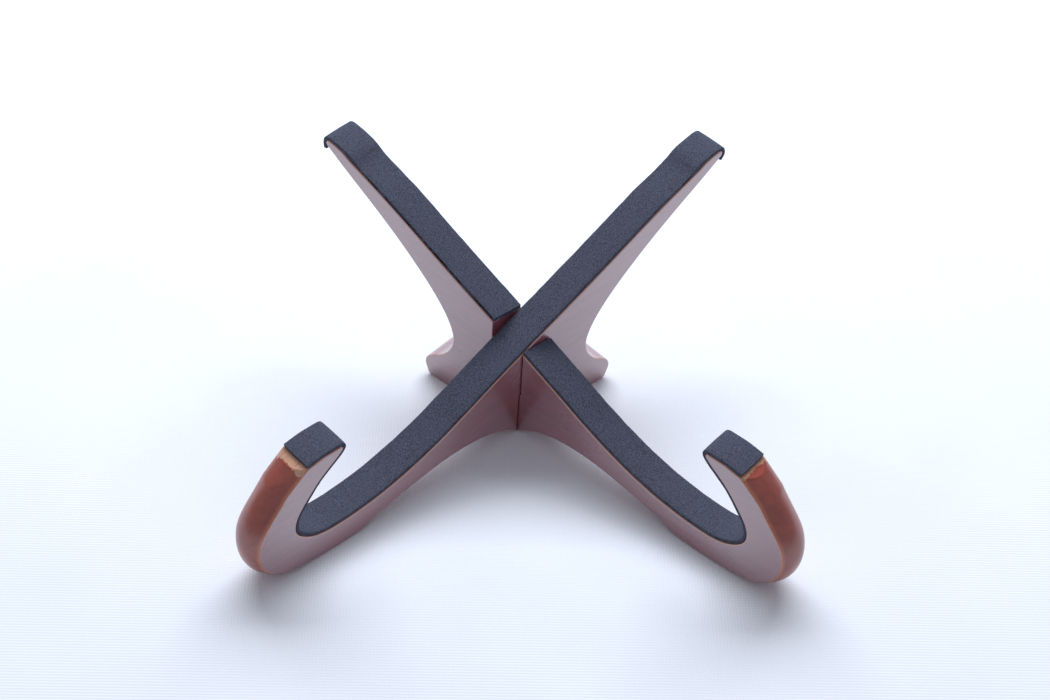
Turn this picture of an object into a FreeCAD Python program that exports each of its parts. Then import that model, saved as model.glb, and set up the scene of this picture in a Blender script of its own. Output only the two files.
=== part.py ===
"""Slot-together X stand for a violin: two hooked hardwood boards with foam padding.

Both boards share one outline. Each stands on edge, and the two cross near their middle,
where a slot in one board drops over a slot in the other. Lengths are in millimetres.

Board frame: x runs along the board from the hook (negative) to the heel (positive),
z is up from the table, and y is across the thickness. The slot is at x = 0.
Part frame: the boards cross on the Z axis, the hooks point towards -Y, and Z = 0 is the table.
"""
import FreeCAD, Part
import os

# Driving dimensions
board_thickness = 15.0
cross_half_angle = 48.5       # between each board and the Y axis; 45 would be a square cross
slot_clearance = 0.25         # free space on each side of the board in the slot
slot_top_height = 21.5        # where the two slots meet
seat_gap = 0.25               # between the slot floors when the stand is assembled
foam_thickness = 1.6
foam_width = 14.3
offset_steps = 14             # spans in each edge of the foam's outer surface

# The slots are cut askew by this many degrees, because the boards don't cross square
slot_skew = 2 * cross_half_angle - 90

# Outline corners, in the board frame
hook_lip = (-114.3, 51.0)     # outer end of the flat on top of the hook
foam_start = (-109.8, 51.6)   # on that flat, where the padding begins
hook_nose = (-95.4, 52.9)     # inner end of that flat, before its corner rounds over
hook_inside_top = (-94.4, 50.9)
crook_bottom = (-97.0, 12.1)
arm_top = (95.4, 91.8)
arm_top_direction = (1, 0.22)
arm_tip_back = (98.1, 89.3)
tucked_tail_end = (97.8, 87.2)      # free end of the long strip, turned under the tip
hanging_tail_end = (99.0, 86.8)     # free end of the upper strip, which stands off the wood
heel_shoulder = (39.5, 12.7)
heel_foot_back = (36.0, 0.0)
heel_foot_front = (-6.0, 0.0)
hook_foot_back = (-102.0, 0.0)
hook_foot_front = (-117.5, 0.0)


def point(x, z):
    return FreeCAD.Vector(x, 0, z)


def spline(points, start_direction, end_direction):
    """A smooth edge through the points, with its two end directions given."""
    curve = Part.BSplineCurve()
    curve.interpolate(Points=[point(*p) for p in points],
                      InitialTangent=point(*start_direction),
                      FinalTangent=point(*end_direction))
    return curve.toShape()


def line(start, end):
    return Part.LineSegment(point(*start), point(*end)).toShape()


def padded_edges():
    """The edges that carry foam, in order: over the hook, down its inside and up the long arm."""
    flat = spline([foam_start, (-103.0, 52.7), hook_nose], (1, 0.15), (1, 0))
    nose = spline([hook_nose, (-94.0, 52.4), hook_inside_top], (1, 0), (-0.68, -0.73))
    hook_inside = spline([hook_inside_top, (-103.9, 43.2), (-111.2, 35.2), (-115.8, 28.4),
                          (-116.3, 21.0), (-110.6, 15.0), crook_bottom], (-0.68, -0.73), (1, 0))
    arm = spline([crook_bottom, (-82.0, 13.2), (-65.0, 17.0), (-45.0, 24.6), (-25.0, 34.6),
                  (0.0, 47.0), (35.0, 63.8), (76.0, 83.8), (88.0, 89.2), arm_top],
                 (1, 0), arm_top_direction)
    return [flat, nose, hook_inside, arm]


def bare_edges():
    """The other edges, in order: round the arm tip, down the back, underneath and up the hook."""
    tip = spline([arm_top, (98.5, 91.3), arm_tip_back], arm_top_direction, (-0.8, -0.6))
    back = spline([arm_tip_back, (82.0, 78.5), (65.7, 67.8), (49.2, 55.2), (37.5, 44.1),
                   (31.2, 35.0), (29.4, 27.5), (31.6, 20.6), heel_shoulder],
                  (-0.8, -0.6), (0.87, -0.5))
    heel = spline([heel_shoulder, (43.0, 9.8), (44.4, 6.0), (43.0, 1.8), heel_foot_back],
                  (0.87, -0.5), (-1, 0))
    heel_foot = line(heel_foot_back, heel_foot_front)
    arch = spline([heel_foot_front, (-13.0, 4.7), (-21.5, 8.5), (-35.0, 10.6), (-47.0, 10.2),
                   (-65.0, 7.0), (-80.0, 3.6), hook_foot_back], (-0.85, 0.53), (-1, 0))
    hook_foot = line(hook_foot_back, hook_foot_front)
    hook_outside = spline([hook_foot_front, (-126.8, 2.4), (-133.2, 8.4), (-136.2, 16.6),
                           (-135.6, 25.8), (-131.0, 34.6), (-123.0, 43.8), hook_lip],
                          (-1, 0), (0.8, 0.6))
    lip_flat = line(hook_lip, foam_start)
    return [tip, back, heel, heel_foot, arch, hook_foot, hook_outside, lip_flat]


def thickened(face, width):
    """The face given a thickness, centred on the middle of the board."""
    solid = face.extrude(FreeCAD.Vector(0, width, 0))
    solid.translate(FreeCAD.Vector(0, -width / 2, 0))
    return solid


def block(low_x, high_x, low_z, high_z, skew):
    """A block that runs right through a board and its foam, turned by the slot's skew."""
    depth = 8 * board_thickness
    corner = FreeCAD.Vector(low_x, -depth / 2, low_z)
    return placed(Part.makeBox(high_x - low_x, depth, high_z - low_z, corner), skew)


def plain_board():
    outline = Part.Wire(padded_edges() + bare_edges())
    return thickened(Part.Face(outline), board_thickness)


def offset_edge(edge, distance):
    """The edge moved sideways, away from the wood, by the distance."""
    first, last = edge.ParameterRange
    points = []
    for step in range(offset_steps + 1):
        parameter = first + (last - first) * step / offset_steps
        along = edge.tangentAt(parameter)
        base = edge.valueAt(parameter)
        points.append((base.x - distance * along.z, base.z + distance * along.x))
    start = edge.tangentAt(first)
    end = edge.tangentAt(last)
    return spline(points, (start.x, start.z), (end.x, end.z))


def foam(tail_end, tail_direction):
    """The padding as one strip along all the padded edges, with its free end past the arm tip."""
    tail = spline([arm_top, (98.8, 91.3), (99.2, 89.8), tail_end], arm_top_direction, tail_direction)
    inner = padded_edges() + [tail]
    outer = [offset_edge(edge, foam_thickness) for edge in inner]
    near_end = Part.makeLine(inner[0].firstVertex().Point, outer[0].firstVertex().Point)
    far_end = Part.makeLine(inner[-1].lastVertex().Point, outer[-1].lastVertex().Point)
    outline = Part.Wire(Part.sortEdges(inner + [far_end] + outer + [near_end])[0])
    return thickened(Part.Face(outline), foam_width)


def placed(shape, angle):
    shape.rotate(FreeCAD.Vector(0, 0, 0), FreeCAD.Vector(0, 0, 1), angle)
    return shape


def write(name, shape):
    solids = shape.Solids
    assert len(solids) == 1 and solids[0].isValid(), (name, len(solids), shape.isValid())
    solids[0].exportStep("parts/%s.step" % name)
    box = solids[0].BoundBox
    print("%-22s volume %8.0f  x %6.1f %6.1f  y %6.1f %6.1f  z %5.1f %5.1f"
          % (name, solids[0].Volume, box.XMin, box.XMax, box.YMin, box.YMax, box.ZMin, box.ZMax))


def main():
    os.makedirs("parts", exist_ok=True)
    half_slot = board_thickness / 2 + slot_clearance
    over_top = 120.0
    left_angle = 90 - cross_half_angle       # hook at the front left
    right_angle = 90 + cross_half_angle      # hook at the front right

    lower_slot = block(-half_slot, half_slot, -1, slot_top_height + seat_gap, slot_skew)
    upper_slot = block(-half_slot, half_slot, slot_top_height, over_top, -slot_skew)

    lifting_board = plain_board().cut(lower_slot)
    base_board = plain_board().cut(upper_slot)
    long_strip = foam(tucked_tail_end, (-0.6, -0.8))
    cut_strip = foam(hanging_tail_end, (-0.1, -1))
    lower_strip = cut_strip.common(block(-200, -half_slot, -5, over_top, -slot_skew))
    upper_strip = cut_strip.common(block(half_slot, 200, -5, over_top, -slot_skew))

    write("lifting_board", placed(lifting_board, left_angle))
    write("long_foam_strip", placed(long_strip, left_angle))
    write("base_board", placed(base_board, right_angle))
    write("lower_foam_strip", placed(lower_strip, right_angle))
    write("upper_foam_strip", placed(upper_strip, right_angle))


main()
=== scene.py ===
"""Looks for the slot-together X stand: rounded stained boards, foam padding, floor and light.

Each CAD node is replaced by a finer piece built from that node's own outline. A piece is built
in its board's frame: x along the board from hook to heel, y across the thickness, z up. The
object is then turned about Z into place, so its shaders can use plain object coordinates.
Lengths are in metres, and the millimetre names below are multiplied by mm.
"""

from math import atan2, cos, pi, radians, sin, tan

import bmesh
import bpy
from mathutils import Matrix, Vector, noise


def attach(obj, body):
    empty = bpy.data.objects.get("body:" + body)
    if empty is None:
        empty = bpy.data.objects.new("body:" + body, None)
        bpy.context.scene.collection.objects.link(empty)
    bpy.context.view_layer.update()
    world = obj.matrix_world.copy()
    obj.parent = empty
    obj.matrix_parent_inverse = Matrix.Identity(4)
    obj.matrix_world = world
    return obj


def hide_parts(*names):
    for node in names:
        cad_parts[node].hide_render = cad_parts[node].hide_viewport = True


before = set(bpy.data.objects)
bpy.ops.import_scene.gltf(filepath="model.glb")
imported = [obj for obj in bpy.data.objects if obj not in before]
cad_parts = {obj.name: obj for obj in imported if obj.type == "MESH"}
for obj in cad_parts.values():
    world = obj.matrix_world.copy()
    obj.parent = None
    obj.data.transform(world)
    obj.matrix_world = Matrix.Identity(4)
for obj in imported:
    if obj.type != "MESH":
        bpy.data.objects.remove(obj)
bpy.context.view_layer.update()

mm = 0.001
HALF_BOARD = 7.5 * mm            # half the boards' thickness
HALF_FOAM = 7.15 * mm            # half the foam's width
LEFT_ANGLE = radians(41.5)       # the lifting board's turn about Z, and its foam's
RIGHT_ANGLE = radians(138.5)     # the same for the base board
SLOT_SKEW = radians(7)           # how far the slots are from square across the boards
SLOT_REACH = 9.8 * mm            # everything this close to the crossing is slot or beside it

# How the outlines are read and smoothed
STEP = 1.0 * mm                  # spacing of points along an outline
CORNER = radians(20)             # a sharper turn than this stays a corner
SHARP = radians(24)              # faces that meet at a larger angle are shaded with an edge
WELD = 0.001 * mm                # CAD points closer than this are one point
SAME = 0.01 * mm                 # lengths that differ by less than this count as equal

# Rounding of the pieces
HOOK_LIP = Vector((-114.3, 51.0)) * mm      # outlines start at the corner nearest to this
HOOK_ROUND_END = 90 * mm         # how far round from the lip the hook's outside is crowned
HOOK_ROUND_FADE = 34 * mm        # over which the crown dies out before that
LIP_CROWN = 2.1 * mm             # how proud the crown is at the lip
LIP_CROWN_RUN = 20 * mm          # over which it grows from there to its full height
HOOK_CROWN = 3.0 * mm
HOOK_EDGE = 0.8 * mm             # radius of the arrises there
BOARD_EDGE = 0.5 * mm            # and elsewhere on the boards
FOAM_CROWN = 0.12 * mm
FOAM_EDGE = 0.35 * mm
CROWN_RINGS = 6                  # from the middle of a piece to each arris
EDGE_RINGS = 4                   # round each arris
FLAT_RIM = 0.3 * mm              # width of the outermost ring, which lies on the flat side
EDGE_SHIFT = 50 * mm             # how far each strip's unevenness is shifted from the last one's

# Where the wood is worn, and where its arrises carry a painted highlight, in the board frame
ARRIS_START = 6.3 * mm           # the arris band, partly wear and partly a painted highlight, begins this far from the board's middle
ARRIS_FULL = 6.9 * mm            # and is at full strength from here
FOAM_START = -109.8 * mm         # x where the foam begins on top of the hook
LIP_END = -104 * mm              # x where the flat on top of the hook's lip is taken to end
LIP_HEIGHT = 50.6 * mm           # that flat is higher than this
BARE_HEIGHT = 49.5 * mm          # and bare wood is higher than this
BARE_BLUR = 1.5 * mm             # half the width over which the bare patch fades out
BARE_SPREAD = 0.08               # it widens by this share of the distance from the middle

# How far a normal leans towards the flat sides: 1 on them, and 0 on the surfaces between
ARRIS_LEAN = (0.995, 0.9)        # none of the arris band (wear and painted highlight) at the first, all of it at the second
CROWN_LEAN = (0.97, 0.75)        # the same for the crown's colour
SIDE_LEAN = 0.6                  # a larger lean belongs to a flat side

FLOOR_HALF = 4.0
FLOOR_GAP = 0.2 * mm             # keeps the floor from lying in the plane of the feet


# ---------------------------------------------------------------- camera

def make_camera():
    """A camera in front of the stand and well above it, looking down at the crossing."""
    pitch, yaw, roll = radians(44.51), radians(3.24), radians(3.57)
    forward = Vector((sin(yaw) * cos(pitch), cos(yaw) * cos(pitch), -sin(pitch)))
    level = Vector((cos(yaw), -sin(yaw), 0))
    right = level * cos(roll) + level.cross(forward) * sin(roll)
    up = right.cross(forward)
    place = Vector((-0.02707, -0.50564, 0.53461))
    data = bpy.data.cameras.new("camera")
    data.sensor_width = 36
    data.lens = 61.71
    data.clip_start = 0.01
    camera = bpy.data.objects.new("camera", data)
    bpy.context.scene.collection.objects.link(camera)
    turn = Matrix((right, up, -forward)).transposed().to_4x4()
    camera.matrix_world = Matrix.Translation(place) @ turn
    bpy.context.scene.camera = camera


# ---------------------------------------------------------------- outlines

def side_outline(node, angle):
    """The outline of a CAD piece's flat side, counter-clockwise, as (x, z) in the board frame."""
    mesh = bmesh.new()
    mesh.from_mesh(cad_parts[node].data)
    mesh.transform(Matrix.Rotation(-angle, 4, "Z"))
    bmesh.ops.remove_doubles(mesh, verts=mesh.verts, dist=WELD)
    side = min(v.co.y for v in mesh.verts)
    flat = {f for f in mesh.faces if all(abs(v.co.y - side) < SAME for v in f.verts)}
    following = {}
    for face in flat:
        for loop in face.loops:
            if not all(f in flat for f in loop.edge.link_faces):
                following[loop.vert] = loop.link_loop_next.vert
    start = next(iter(following))
    outline = [start]
    while following[outline[-1]] is not start:
        outline.append(following[outline[-1]])
    points = [Vector((v.co.x, v.co.z)) for v in outline]
    mesh.free()
    area = sum(a.x * b.y - b.x * a.y for a, b in zip(points, points[1:] + points[:1]))
    return points if area > 0 else points[::-1]


def turn_at(points, i):
    """How far the outline turns at point i, positive to the left."""
    before = points[i] - points[i - 1]
    after = points[(i + 1) % len(points)] - points[i]
    return atan2(before.x * after.y - before.y * after.x, before.dot(after))


def smooth_run(points, step):
    """Points about a step apart on a smooth curve through the given ones, both ends kept."""
    gaps = [(b - a).length for a, b in zip(points, points[1:])]
    slopes = [(b - a) / gap for a, b, gap in zip(points, points[1:], gaps)]
    inner = [(slopes[i] * gaps[i - 1] + slopes[i - 1] * gaps[i]) / (gaps[i - 1] + gaps[i])
             for i in range(1, len(slopes))]
    first = slopes[0] * 2 - inner[0] if inner else slopes[0]
    last = slopes[-1] * 2 - inner[-1] if inner else slopes[-1]
    tangents = [first] + inner + [last]
    total = sum(gaps)
    count = max(2, round(total / step))
    run, i, passed = [points[0]], 0, 0.0
    for k in range(1, count):
        goal = total * k / count
        while passed + gaps[i] < goal:
            passed += gaps[i]
            i += 1
        t = (goal - passed) / gaps[i]
        here = points[i] * (1 + 2 * t) + tangents[i] * gaps[i] * t
        there = points[i + 1] * (3 - 2 * t) - tangents[i + 1] * gaps[i] * (1 - t)
        run.append(here * (1 - t) ** 2 + there * t ** 2)
    run.append(points[-1])
    return run


def runs_between_corners(points, first_corner, step):
    """The outline as smooth runs from corner to corner, starting at the corner nearest a point."""
    corners = [i for i in range(len(points)) if abs(turn_at(points, i)) > CORNER]
    start = min(corners, key=lambda i: (points[i] - first_corner).length)
    points = points[start:] + points[:start]
    corners = sorted((i - start) % len(points) for i in corners) + [len(points)]
    points.append(points[0])
    return [smooth_run(points[a:b + 1], step) for a, b in zip(corners, corners[1:])]


# ---------------------------------------------------------------- lofting an outline

def outward(along):
    """The direction out of the wood, for a counter-clockwise outline that runs this way."""
    return Vector((along.y, -along.x))


def section(half_width, crown, edge):
    """Rings across half a piece, from its middle to its flat side, as (across, inset) pairs.

    A crown is how far the side's middle stands proud of its edges, and edge is the radius
    between it and the flat side. The last ring lies on the flat side, to keep it flat."""
    slope = 2 * atan2(crown, half_width)
    rings = []
    width = half_width - edge * (1 - sin(slope))
    for k in range(CROWN_RINGS + 1):
        across = width * k / CROWN_RINGS
        rings.append((across, crown * (across / width) ** 2))
    for k in range(1, EDGE_RINGS + 1):
        angle = slope + (pi / 2 - slope) * k / EDGE_RINGS
        across = half_width - edge * (1 - sin(angle))
        rings.append((across, crown + edge * (cos(slope) - cos(angle))))
    across, inset = rings[-1]
    rings.append((across, inset + FLAT_RIM))
    return rings


def full_section(half_width, crown, edge):
    """The rings across the whole piece, from its low side to its high side."""
    half = section(half_width, crown, edge)
    return [(-across, inset) for across, inset in half[:0:-1]] + half


def corner_move(before, after, inset_before, inset_after):
    """The move that insets a corner by its own amount from each of its two sides."""
    n1, n2 = outward(before), outward(after)
    spread = n1.x * n2.y - n1.y * n2.x
    return Vector((n1.y * inset_after - n2.y * inset_before,
                   n2.x * inset_before - n1.x * inset_after)) / spread


def faded(slide, distance):
    """A corner's slide along its side, dying out over four times its own length."""
    reach = 4 * abs(slide) + 1e-6       # never nothing
    return slide * max(0.0, 1 - distance / reach)


def skewed(rings, direction, side, skew):
    """The rings of a slot wall, which leans across the board because the boards cross askew."""
    lean = tan(skew) * outward(direction).x
    return [(across, inset - (across - side) * lean) for across, inset in rings]


def in_slot(run):
    """Whether the whole run is in the slot, or beside it on the crossing."""
    return all(abs(point.x) < SLOT_REACH for point in run)


def is_slot_wall(run):
    """Whether the run is one of the slot's two walls, which go straight up."""
    return in_slot(run) and abs(run[0].x - run[-1].x) < SAME


def loft(runs, profile, side, skew):
    """Columns of (travel, whether in the slot, points) round the outline of one flat side.

    profile(travel) gives the rings there, side is where that flat side lies across the piece,
    and skew is how far the slot is from square."""
    # Each run's points, directions, distances along it and rings, and where it starts
    sides = []
    travel = 0.0
    for run in runs:
        last = len(run) - 1
        along = [(run[min(i + 1, last)] - run[max(i - 1, 0)]).normalized() for i in range(last + 1)]
        steps = [0.0]
        for a, b in zip(run, run[1:]):
            steps.append(steps[-1] + (b - a).length)
        rings = [profile(travel + step) for step in steps]
        if is_slot_wall(run):
            rings = [skewed(ring, along[0], side, skew) for ring in rings]
        sides.append((run, along, steps, rings, travel))
        travel += steps[-1]
    # At a corner, each ring moves to where the insets of both runs are met
    moves = []
    for i in range(len(sides)):
        _, before, _, rings_before, _ = sides[i - 1]
        _, after, _, rings_after, _ = sides[i]
        moves.append([corner_move(before[-1], after[0], a[1], b[1])
                      for a, b in zip(rings_before[-1], rings_after[0])])
    # Between corners, it moves inwards, and slides along as far as its corners still pull it
    columns = []
    for i, (run, along, steps, rings, start) in enumerate(sides):
        first, final = moves[i], moves[(i + 1) % len(sides)]
        for k in range(len(run) - 1):
            column = []
            for j, (across, inset) in enumerate(rings[k]):
                slide = faded(first[j].dot(along[0]), steps[k])
                slide += faded(final[j].dot(along[-1]), steps[-1] - steps[k])
                move = first[j] if k == 0 else along[k] * slide - outward(along[k]) * inset
                column.append((run[k] + move, across))
            columns.append((start + steps[k], in_slot(run), column))
    return columns


def build(name, columns, angle, material, shape=None):
    """A closed mesh from the columns: a skin round the outline and two flat sides.

    Its vertices keep each column's travel, and whether it is in the slot. shape(place) may move
    a vertex from its place."""
    mesh = bmesh.new()
    slot_layer = mesh.verts.layers.float.new("slot")
    travel_layer = mesh.verts.layers.float.new("travel")
    rows = []
    for travel, slot, column in columns:
        row = []
        for point, across in column:
            place = Vector((point.x, across, point.y))
            vert = mesh.verts.new(shape(place) if shape else place)
            vert[slot_layer] = slot
            vert[travel_layer] = travel
            row.append(vert)
        rows.append(row)
    for row, following in zip(rows, rows[1:] + rows[:1]):
        for j in range(len(row) - 1):
            mesh.faces.new((row[j], row[j + 1], following[j + 1], following[j]))
    mesh.faces.new([row[0] for row in rows])
    mesh.faces.new([row[-1] for row in rows[::-1]])
    bmesh.ops.recalc_face_normals(mesh, faces=mesh.faces)
    data = bpy.data.meshes.new(name)
    mesh.to_mesh(data)
    mesh.free()
    data.shade_smooth()
    data.set_sharp_from_angle(angle=SHARP)
    data.materials.append(material)
    piece = bpy.data.objects.new(name, data)
    piece.rotation_euler = (0, 0, angle)
    bpy.context.scene.collection.objects.link(piece)
    return piece


# ---------------------------------------------------------------- boards

def smoothstep(low, high, value):
    """0 at low, 1 at high, and smooth between them. Low may be the larger of the two."""
    t = min(max((value - low) / (high - low), 0.0), 1.0)
    return t * t * (3 - 2 * t)


def board_profile(travel):
    """The hook's outside is crowned from its lip, at travel 0, until it fades out below."""
    fade = 1 - smoothstep(HOOK_ROUND_END - HOOK_ROUND_FADE, HOOK_ROUND_END, travel)
    crown = (LIP_CROWN + (HOOK_CROWN - LIP_CROWN) * smoothstep(0, LIP_CROWN_RUN, travel)) * fade
    edge = BOARD_EDGE + (HOOK_EDGE - BOARD_EDGE) * fade
    return full_section(HALF_BOARD, crown, edge)


def rounded_board(node, name, angle, skew, material):
    """A CAD board built again from its outline, with a crowned hook and rounded arrises."""
    outline = side_outline(node, angle)
    runs = runs_between_corners(outline, HOOK_LIP, STEP)
    columns = loft(runs, board_profile, -HALF_BOARD, skew)
    return build(name, columns, angle, material)


# ---------------------------------------------------------------- foam

def foam_piece(node, name, angle, skew, material, shift):
    """A CAD strip built again from its outline. The shift gives it its own uneven edges."""
    outline = side_outline(node, angle)
    runs = runs_between_corners(outline, HOOK_LIP, STEP)

    def profile(travel):
        return full_section(HALF_FOAM, FOAM_CROWN, FOAM_EDGE)

    def shape(place):
        """The cut edges wander a little, in long waves and short ones."""
        spot = Vector((place.x, shift, place.z))
        wander = 0.16 * mm * noise.noise(spot / (7 * mm)) + 0.07 * mm * noise.noise(spot / (2 * mm))
        share = abs(place.y) / HALF_FOAM
        return Vector((place.x, place.y + wander * share, place.z))

    return build(name, loft(runs, profile, -HALF_FOAM, skew), angle, material, shape)


# ---------------------------------------------------------------- materials

class Nodes:
    """Short ways to add and join shader nodes."""

    def __init__(self, name):
        self.material = bpy.data.materials.new(name)
        self.material.use_nodes = True
        self.tree = self.material.node_tree
        self.shader = self.tree.nodes["Principled BSDF"]

    def feed(self, socket, value):
        """Joins a socket to another node's output, or sets it to a plain value."""
        if isinstance(value, bpy.types.NodeSocket):
            self.tree.links.new(value, socket)
        else:
            socket.default_value = value

    def add(self, kind, inputs=None, **settings):
        node = self.tree.nodes.new("ShaderNode" + kind)
        for name, value in settings.items():
            setattr(node, name, value)
        for name, value in (inputs or {}).items():
            self.feed(node.inputs[name], value)
        return node

    def place(self, scale, offset=(0, 0, 0)):
        """Object coordinates scaled along each axis, then moved."""
        spot = self.add("TexCoord").outputs["Object"]
        mapping = self.add("Mapping", {"Vector": spot, "Scale": scale, "Location": offset})
        return mapping.outputs["Vector"]

    def noise(self, vector, scale, detail=3.0, roughness=0.5, distortion=0.0):
        return self.add("TexNoise", {"Vector": vector, "Scale": scale, "Detail": detail,
                                     "Roughness": roughness, "Distortion": distortion}).outputs[0]

    def ramp(self, value, low, high, to_low=0.0, to_high=1.0):
        """The value carried from one range to another, and held at its ends."""
        return self.add("MapRange", {"Value": value, "From Min": low, "From Max": high,
                                     "To Min": to_low, "To Max": to_high}).outputs[0]

    def mix(self, factor, first, second):
        """The first colour where the factor is 0, and the second where it is 1."""
        node = self.add("Mix", {0: factor, 6: first, 7: second}, data_type="RGBA")
        return node.outputs[2]

    def math(self, operation, first, second):
        return self.add("Math", {0: first, 1: second}, operation=operation).outputs[0]

    def attribute(self, name):
        """A mark that mark_board wrote on the vertices."""
        return self.add("Attribute", attribute_name=name).outputs["Fac"]

    def bump(self, height, strength, distance):
        return self.add("Bump", {"Height": height, "Strength": strength,
                                 "Distance": distance}).outputs["Normal"]

    def finish(self, inputs):
        """Joins the shader's inputs that vary, sets the uniform ones, and gives the material."""
        for name, value in inputs.items():
            self.feed(self.shader.inputs[name], value)
        return self.material


def rgb(red, green, blue):
    return (red, green, blue, 1.0)


def wood_material(name, offset):
    """Red-brown stained hardwood, its grain along the board, under a satin varnish.

    The offset gives each board its own grain."""
    n = Nodes(name)
    cathedral = n.noise(n.place((1, 9, 9), offset), 22, detail=4, distortion=1.2)
    fibre = n.noise(n.place((1, 30, 30), offset), 60, detail=5, roughness=0.65)
    pores = n.noise(n.place((1, 14, 14), offset), 420, detail=2)
    cloud = n.noise(n.place((1, 1.5, 1.5), offset), 30, detail=3)

    # The stain has broad grain, darker fibres and pores, and a cloudy unevenness
    base = n.mix(n.ramp(cathedral, 0.35, 0.65), rgb(0.19, 0.024, 0.046), rgb(0.26, 0.038, 0.058))
    base = n.mix(n.ramp(fibre, 0.3, 0.7, 0.0, 0.25), base, rgb(0.12, 0.015, 0.030))
    base = n.mix(n.ramp(pores, 0.60, 0.72, 0.0, 0.15), base, rgb(0.05, 0.010, 0.008))
    base = n.mix(n.ramp(cloud, 0.3, 0.7, 0.0, 0.30), base, rgb(0.23, 0.036, 0.040))

    # It is more orange on the hook's crown, and paler along the arrises, partly from wear and
    # partly as a painted highlight
    crown = n.mix(n.ramp(cathedral, 0.3, 0.7), rgb(0.24, 0.034, 0.018), rgb(0.33, 0.052, 0.024))
    # The arris colour: paler worn wood together with a painted highlight
    wear_and_highlight = n.mix(n.ramp(fibre, 0.3, 0.7), rgb(0.42, 0.10, 0.04), rgb(0.55, 0.18, 0.08))
    on_crown = n.attribute("crown")
    base = n.mix(on_crown, base, crown)
    base = n.mix(n.attribute("wear_and_highlight"), base, wear_and_highlight)

    # The bare patch beside the foam has a ragged edge
    bare = n.mix(n.ramp(fibre, 0.3, 0.7), rgb(0.42, 0.19, 0.11), rgb(0.60, 0.33, 0.21))
    ragged = n.ramp(n.noise(n.place((1, 1, 1)), 900), 0.3, 0.7, -0.2, 0.2)
    bare_edge = n.ramp(n.math("ADD", n.attribute("bare"), ragged), 0.42, 0.58)
    base = n.mix(bare_edge, base, bare)

    # The varnish's high index gives the flat sides a milky sheen. There is less of it on the
    # crown, and the flat of the lip is matt
    on_lip = n.attribute("lip")
    rough = n.ramp(cloud, 0.3, 0.7, 0.26, 0.34)
    rough = n.math("MAXIMUM", rough, n.ramp(on_lip, 0.0, 1.0, 0.0, 0.8))
    varnish = n.math("MULTIPLY", n.ramp(on_crown, 0.0, 1.0, 1.0, 0.25),
                     n.ramp(on_lip, 0.0, 1.0, 1.0, 0.0))
    return n.finish({"Base Color": base, "Roughness": rough, "Coat Weight": varnish,
                     "Normal": n.bump(fibre, 0.2, 0.03 * mm), "IOR": 1.5,
                     "Coat Roughness": 0.25, "Coat IOR": 2.8})


def foam_material(name, offset):
    """Black closed-cell foam with a fine open grain."""
    n = Nodes(name)
    spot = n.place((1, 1, 1), offset)
    cells = n.add("TexVoronoi", {"Vector": spot, "Scale": 2600.0}).outputs["Distance"]
    grain = n.noise(spot, 2200, detail=3, roughness=0.75)
    patches = n.noise(spot, 90, detail=4)
    base = n.mix(n.ramp(grain, 0.42, 0.58), rgb(0.014, 0.015, 0.025), rgb(0.078, 0.084, 0.130))
    base = n.mix(n.ramp(patches, 0.35, 0.7, 0.0, 0.3), base, rgb(0.054, 0.060, 0.094))
    height = n.math("ADD", n.math("MULTIPLY", cells, 0.6), grain)
    return n.finish({"Base Color": base, "Normal": n.bump(height, 0.6, 0.12 * mm),
                     "Roughness": 0.85})


def cloth_material():
    """Near-white backdrop cloth with a fine plain weave."""
    n = Nodes("backdrop_cloth")
    spot = n.place((1, 1, 1))
    threads = {"Vector": spot, "Scale": 260.0, "Distortion": 0.4}
    warp = n.add("TexWave", threads, bands_direction="X").outputs["Fac"]
    weft = n.add("TexWave", threads, bands_direction="Y").outputs["Fac"]
    weave = n.math("ADD", warp, weft)
    uneven = n.noise(spot, 14, detail=3)
    base = n.mix(n.ramp(uneven, 0.3, 0.7), rgb(0.84, 0.84, 0.87), rgb(0.88, 0.88, 0.90))
    return n.finish({"Base Color": base, "Normal": n.bump(weave, 0.35, 0.15 * mm),
                     "Roughness": 0.9})


# ---------------------------------------------------------------- wear marks

def mark_board(piece, bare_width):
    """Writes where the arrises are worn and carry a painted highlight, and where the wood is
    crowned, bare, or flat on the lip.
    """
    mesh = piece.data
    slot = [item.value for item in mesh.attributes["slot"].data]
    travel = [item.value for item in mesh.attributes["travel"].data]
    marks = {"wear_and_highlight": [], "bare": [], "crown": [], "lip": []}
    for i, vert in enumerate(mesh.vertices):
        place = vert.co
        lean = abs(vert.normal.y)
        off_sides = lean < SIDE_LEAN
        on_arris = smoothstep(ARRIS_START, ARRIS_FULL, abs(place.y)) * smoothstep(*ARRIS_LEAN, lean)
        on_hook = smoothstep(HOOK_ROUND_END, HOOK_ROUND_END - HOOK_ROUND_FADE, travel[i])
        on_lip = place.x < LIP_END and place.z > LIP_HEIGHT and off_sides
        # The arris band is partly wear and partly a painted highlight
        marks["wear_and_highlight"].append(0.0 if slot[i] else on_arris)
        marks["bare"].append(bareness(place, bare_width) if off_sides else 0.0)
        marks["crown"].append(max(on_lip, on_hook) * smoothstep(*CROWN_LEAN, lean))
        marks["lip"].append(float(on_lip))
    for name, values in marks.items():
        mesh.attributes.new(name, "FLOAT", "POINT").data.foreach_set("value", values)


def bareness(place, width):
    """1 beside the foam's end on top of the hook, falling through a half at this distance."""
    if place.z < BARE_HEIGHT:
        return 0.0
    edge = FOAM_START - width - BARE_SPREAD * abs(place.y)
    past_edge = smoothstep(edge - BARE_BLUR, edge + BARE_BLUR, place.x)
    return past_edge * smoothstep(LIP_END + 4 * mm, LIP_END, place.x)


# ---------------------------------------------------------------- floor and light

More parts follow.
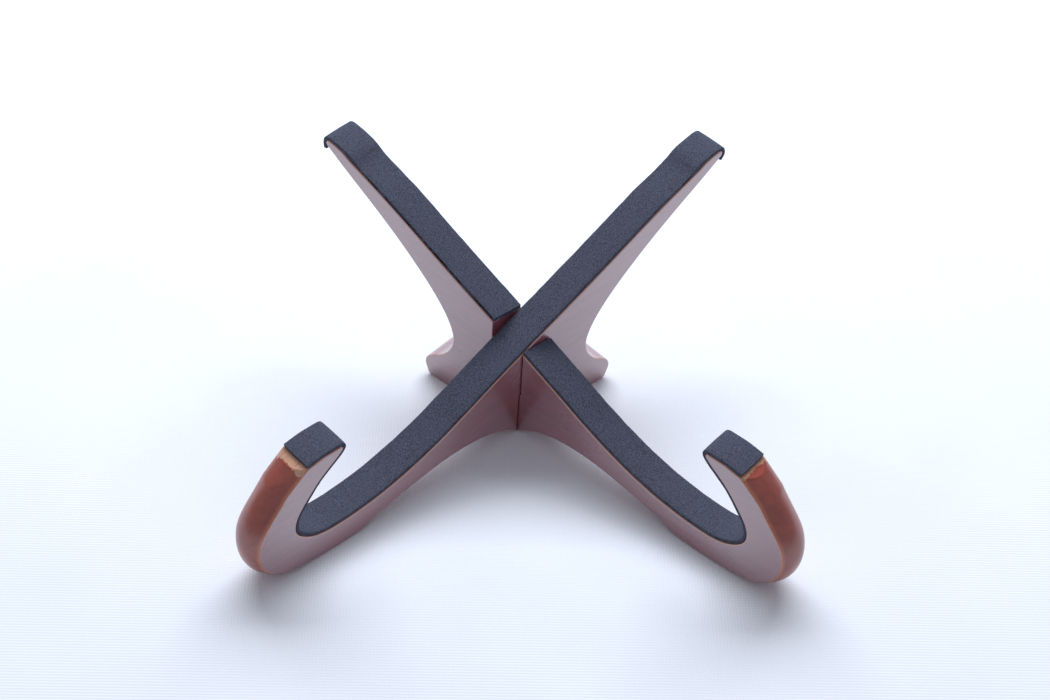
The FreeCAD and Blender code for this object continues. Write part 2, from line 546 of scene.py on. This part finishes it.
def make_floor():
    """A wide cloth floor, just under the feet."""
    mesh = bpy.data.meshes.new("floor")
    signs = [(-1, -1), (1, -1), (1, 1), (-1, 1)]
    corners = [(x * FLOOR_HALF, y * FLOOR_HALF, 0) for x, y in signs]
    mesh.from_pydata(corners, [], [(0, 1, 2, 3)])
    mesh.materials.append(cloth_material())
    floor = bpy.data.objects.new("floor", mesh)
    floor.location.z = -FLOOR_GAP
    bpy.context.scene.collection.objects.link(floor)


def softbox(name, place, target, size, power, colour):
    """A rectangular lamp that faces its target."""
    data = bpy.data.lights.new(name, "AREA")
    data.shape = "RECTANGLE"
    data.size, data.size_y = size
    data.energy = power
    data.color = colour
    light = bpy.data.objects.new(name, data)
    light.location = place
    aim = Vector(target) - Vector(place)
    light.rotation_euler = aim.to_track_quat("-Z", "Y").to_euler()
    bpy.context.scene.collection.objects.link(light)


def make_light():
    """An even, slightly blue sky, and one large lamp above and behind the stand."""
    world = bpy.data.worlds.new("studio")
    world.use_nodes = True
    background = world.node_tree.nodes["Background"]
    background.inputs["Color"].default_value = rgb(0.80, 0.86, 1.0)
    background.inputs["Strength"].default_value = 0.42
    bpy.context.scene.world = world
    bpy.context.scene.view_settings.view_transform = "Standard"
    softbox("back", place=(0.0, 0.67, 0.91), target=(0, 0, 0), size=(1.3, 0.6), power=18,
            colour=(0.84, 0.91, 1.0))


# ---------------------------------------------------------------- the stand

make_camera()

# Each board's node, body, turn, slot skew, offset of the grain, and width of the bare patch
boards = [("lifting_board", "lifting", LEFT_ANGLE, -SLOT_SKEW, (0.0, 0.0, 0.0), 3.6 * mm),
          ("base_board", "base", RIGHT_ANGLE, SLOT_SKEW, (0.37, 0.21, 0.13), 1.2 * mm)]
for node, body, angle, skew, offset, bare_width in boards:
    wood = wood_material(body + "_stained_wood", offset)
    piece = rounded_board(node, body + "_board_wood", angle, skew, wood)
    mark_board(piece, bare_width)
    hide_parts(node)
    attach(piece, body)

foam = foam_material("black_foam", (0.1, 0.2, 0.3))
# Each strip's node, body, turn, and skew of its end at the crossing
strips = [("long_foam_strip", "lifting", LEFT_ANGLE, -SLOT_SKEW),
          ("lower_foam_strip", "base", RIGHT_ANGLE, SLOT_SKEW),
          ("upper_foam_strip", "base", RIGHT_ANGLE, SLOT_SKEW)]
for i, (node, body, angle, skew) in enumerate(strips):
    piece = foam_piece(node, node.replace("strip", "padding"), angle, skew, foam, i * EDGE_SHIFT)
    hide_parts(node)
    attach(piece, body)

make_floor()
make_light()
